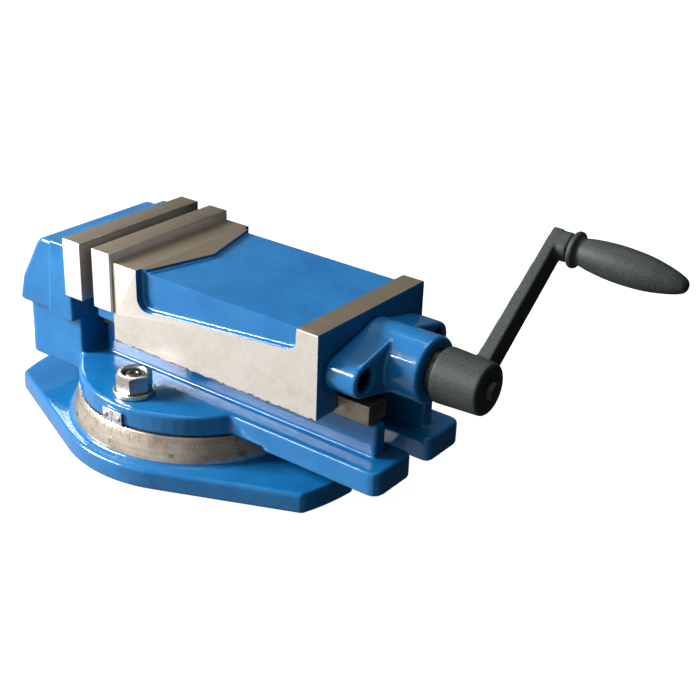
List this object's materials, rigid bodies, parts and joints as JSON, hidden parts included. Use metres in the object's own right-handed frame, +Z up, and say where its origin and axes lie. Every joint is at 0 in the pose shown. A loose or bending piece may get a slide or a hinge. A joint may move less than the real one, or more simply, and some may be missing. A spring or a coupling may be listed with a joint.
{
  "type": "swivel machine vise",
  "caption": "Cast machine vise on a graduated swivel base, with screw-driven moving jaw, hardened jaw plates and crank handle.",
  "frame": {"origin": "on the swivel axis at the base plate's underside", "axes": "+Z up along the swivel axis, +X along the lead screw towards the crank, +Y completes the right-handed frame"},
  "size_m": [0.3922, 0.172, 0.1572],
  "materials": {
    "blue_enamel": "glossy cast enamel",
    "machined_iron": "milled and ground",
    "ground_steel": "ground",
    "zinc_plate": "yellow zinc plated",
    "plain_steel": "turned",
    "black_steel": "black oxide",
    "bronze": "turned",
    "crank_iron": "matte dark hammered paint",
    "aluminium": "satin"
  },
  "bodies": {
    "base": {"swivel_base": "blue_enamel", "pivot_pin": "plain_steel"},
    "bed": {"vise_bed": "blue_enamel", "way_near": "machined_iron", "way_far": "machined_iron", "way_screw_near_1": "black_steel", "way_screw_near_2": "black_steel", "way_screw_near_3": "black_steel", "way_screw_far_1": "black_steel", "way_screw_far_2": "black_steel", "way_screw_far_3": "black_steel", "fixed_jaw_plate": "ground_steel", "fixed_plate_screw_near": "black_steel", "fixed_plate_screw_far": "black_steel", "clamp_bolt_near": "plain_steel", "clamp_bolt_far": "plain_steel", "clamp_washer_near": "zinc_plate", "clamp_washer_far": "zinc_plate", "clamp_nut_near": "plain_steel", "clamp_nut_far": "plain_steel", "index_plate": "aluminium", "index_rivet_left": "plain_steel", "index_rivet_right": "plain_steel", "screw_nut": "bronze", "nut_screw_rear": "black_steel", "nut_screw_front": "black_steel"},
    "moving_jaw": {"moving_jaw": "machined_iron", "moving_jaw_plate": "ground_steel", "moving_plate_screw_near": "black_steel", "moving_plate_screw_far": "black_steel", "keeper_front": "machined_iron", "keeper_rear": "machined_iron", "keeper_screw_front_near": "black_steel", "keeper_screw_front_far": "black_steel", "keeper_screw_rear_near": "black_steel", "keeper_screw_rear_far": "black_steel", "screw_bracket": "blue_enamel", "bracket_bolt_near": "black_steel", "bracket_bolt_far": "black_steel", "bracket_bush": "bronze", "thrust_washer_inner": "bronze", "thrust_washer_outer": "bronze"},
    "screw": {"lead_screw": "plain_steel", "stop_collar": "plain_steel", "collar_set_screw": "black_steel", "crank": "crank_iron", "crank_bolt": "crank_iron", "grip_spindle": "plain_steel"},
    "grip": {"handle_grip": "crank_iron"}
  },
  "joints": [
    {"name": "bed_swivel", "type": "hinge", "parent": "base", "child": "bed", "pos_m": [0, 0, 0.0295], "axis": [0, 0, 1], "continuous": true},
    {"name": "jaw_slide", "type": "slide", "parent": "bed", "child": "moving_jaw", "axis": [1, 0, 0], "range_m": [-0.0096, 0.0641]},
    {"name": "screw_turn", "type": "hinge", "parent": "moving_jaw", "child": "screw", "pos_m": [0.1729, 0, 0.0901], "axis": [1, 0, 0], "range_deg": [-855, 5760]},
    {"name": "grip_spin", "type": "hinge", "parent": "screw", "child": "grip", "pos_m": [0.2026, 0.07246, 0.14712], "axis": [0.9984, 0, -0.0558], "continuous": true}
  ],
  "couplings": [
    {"joint": "jaw_slide", "follows": "screw_turn", "m_per_rad": 0.00063662}
  ]
}
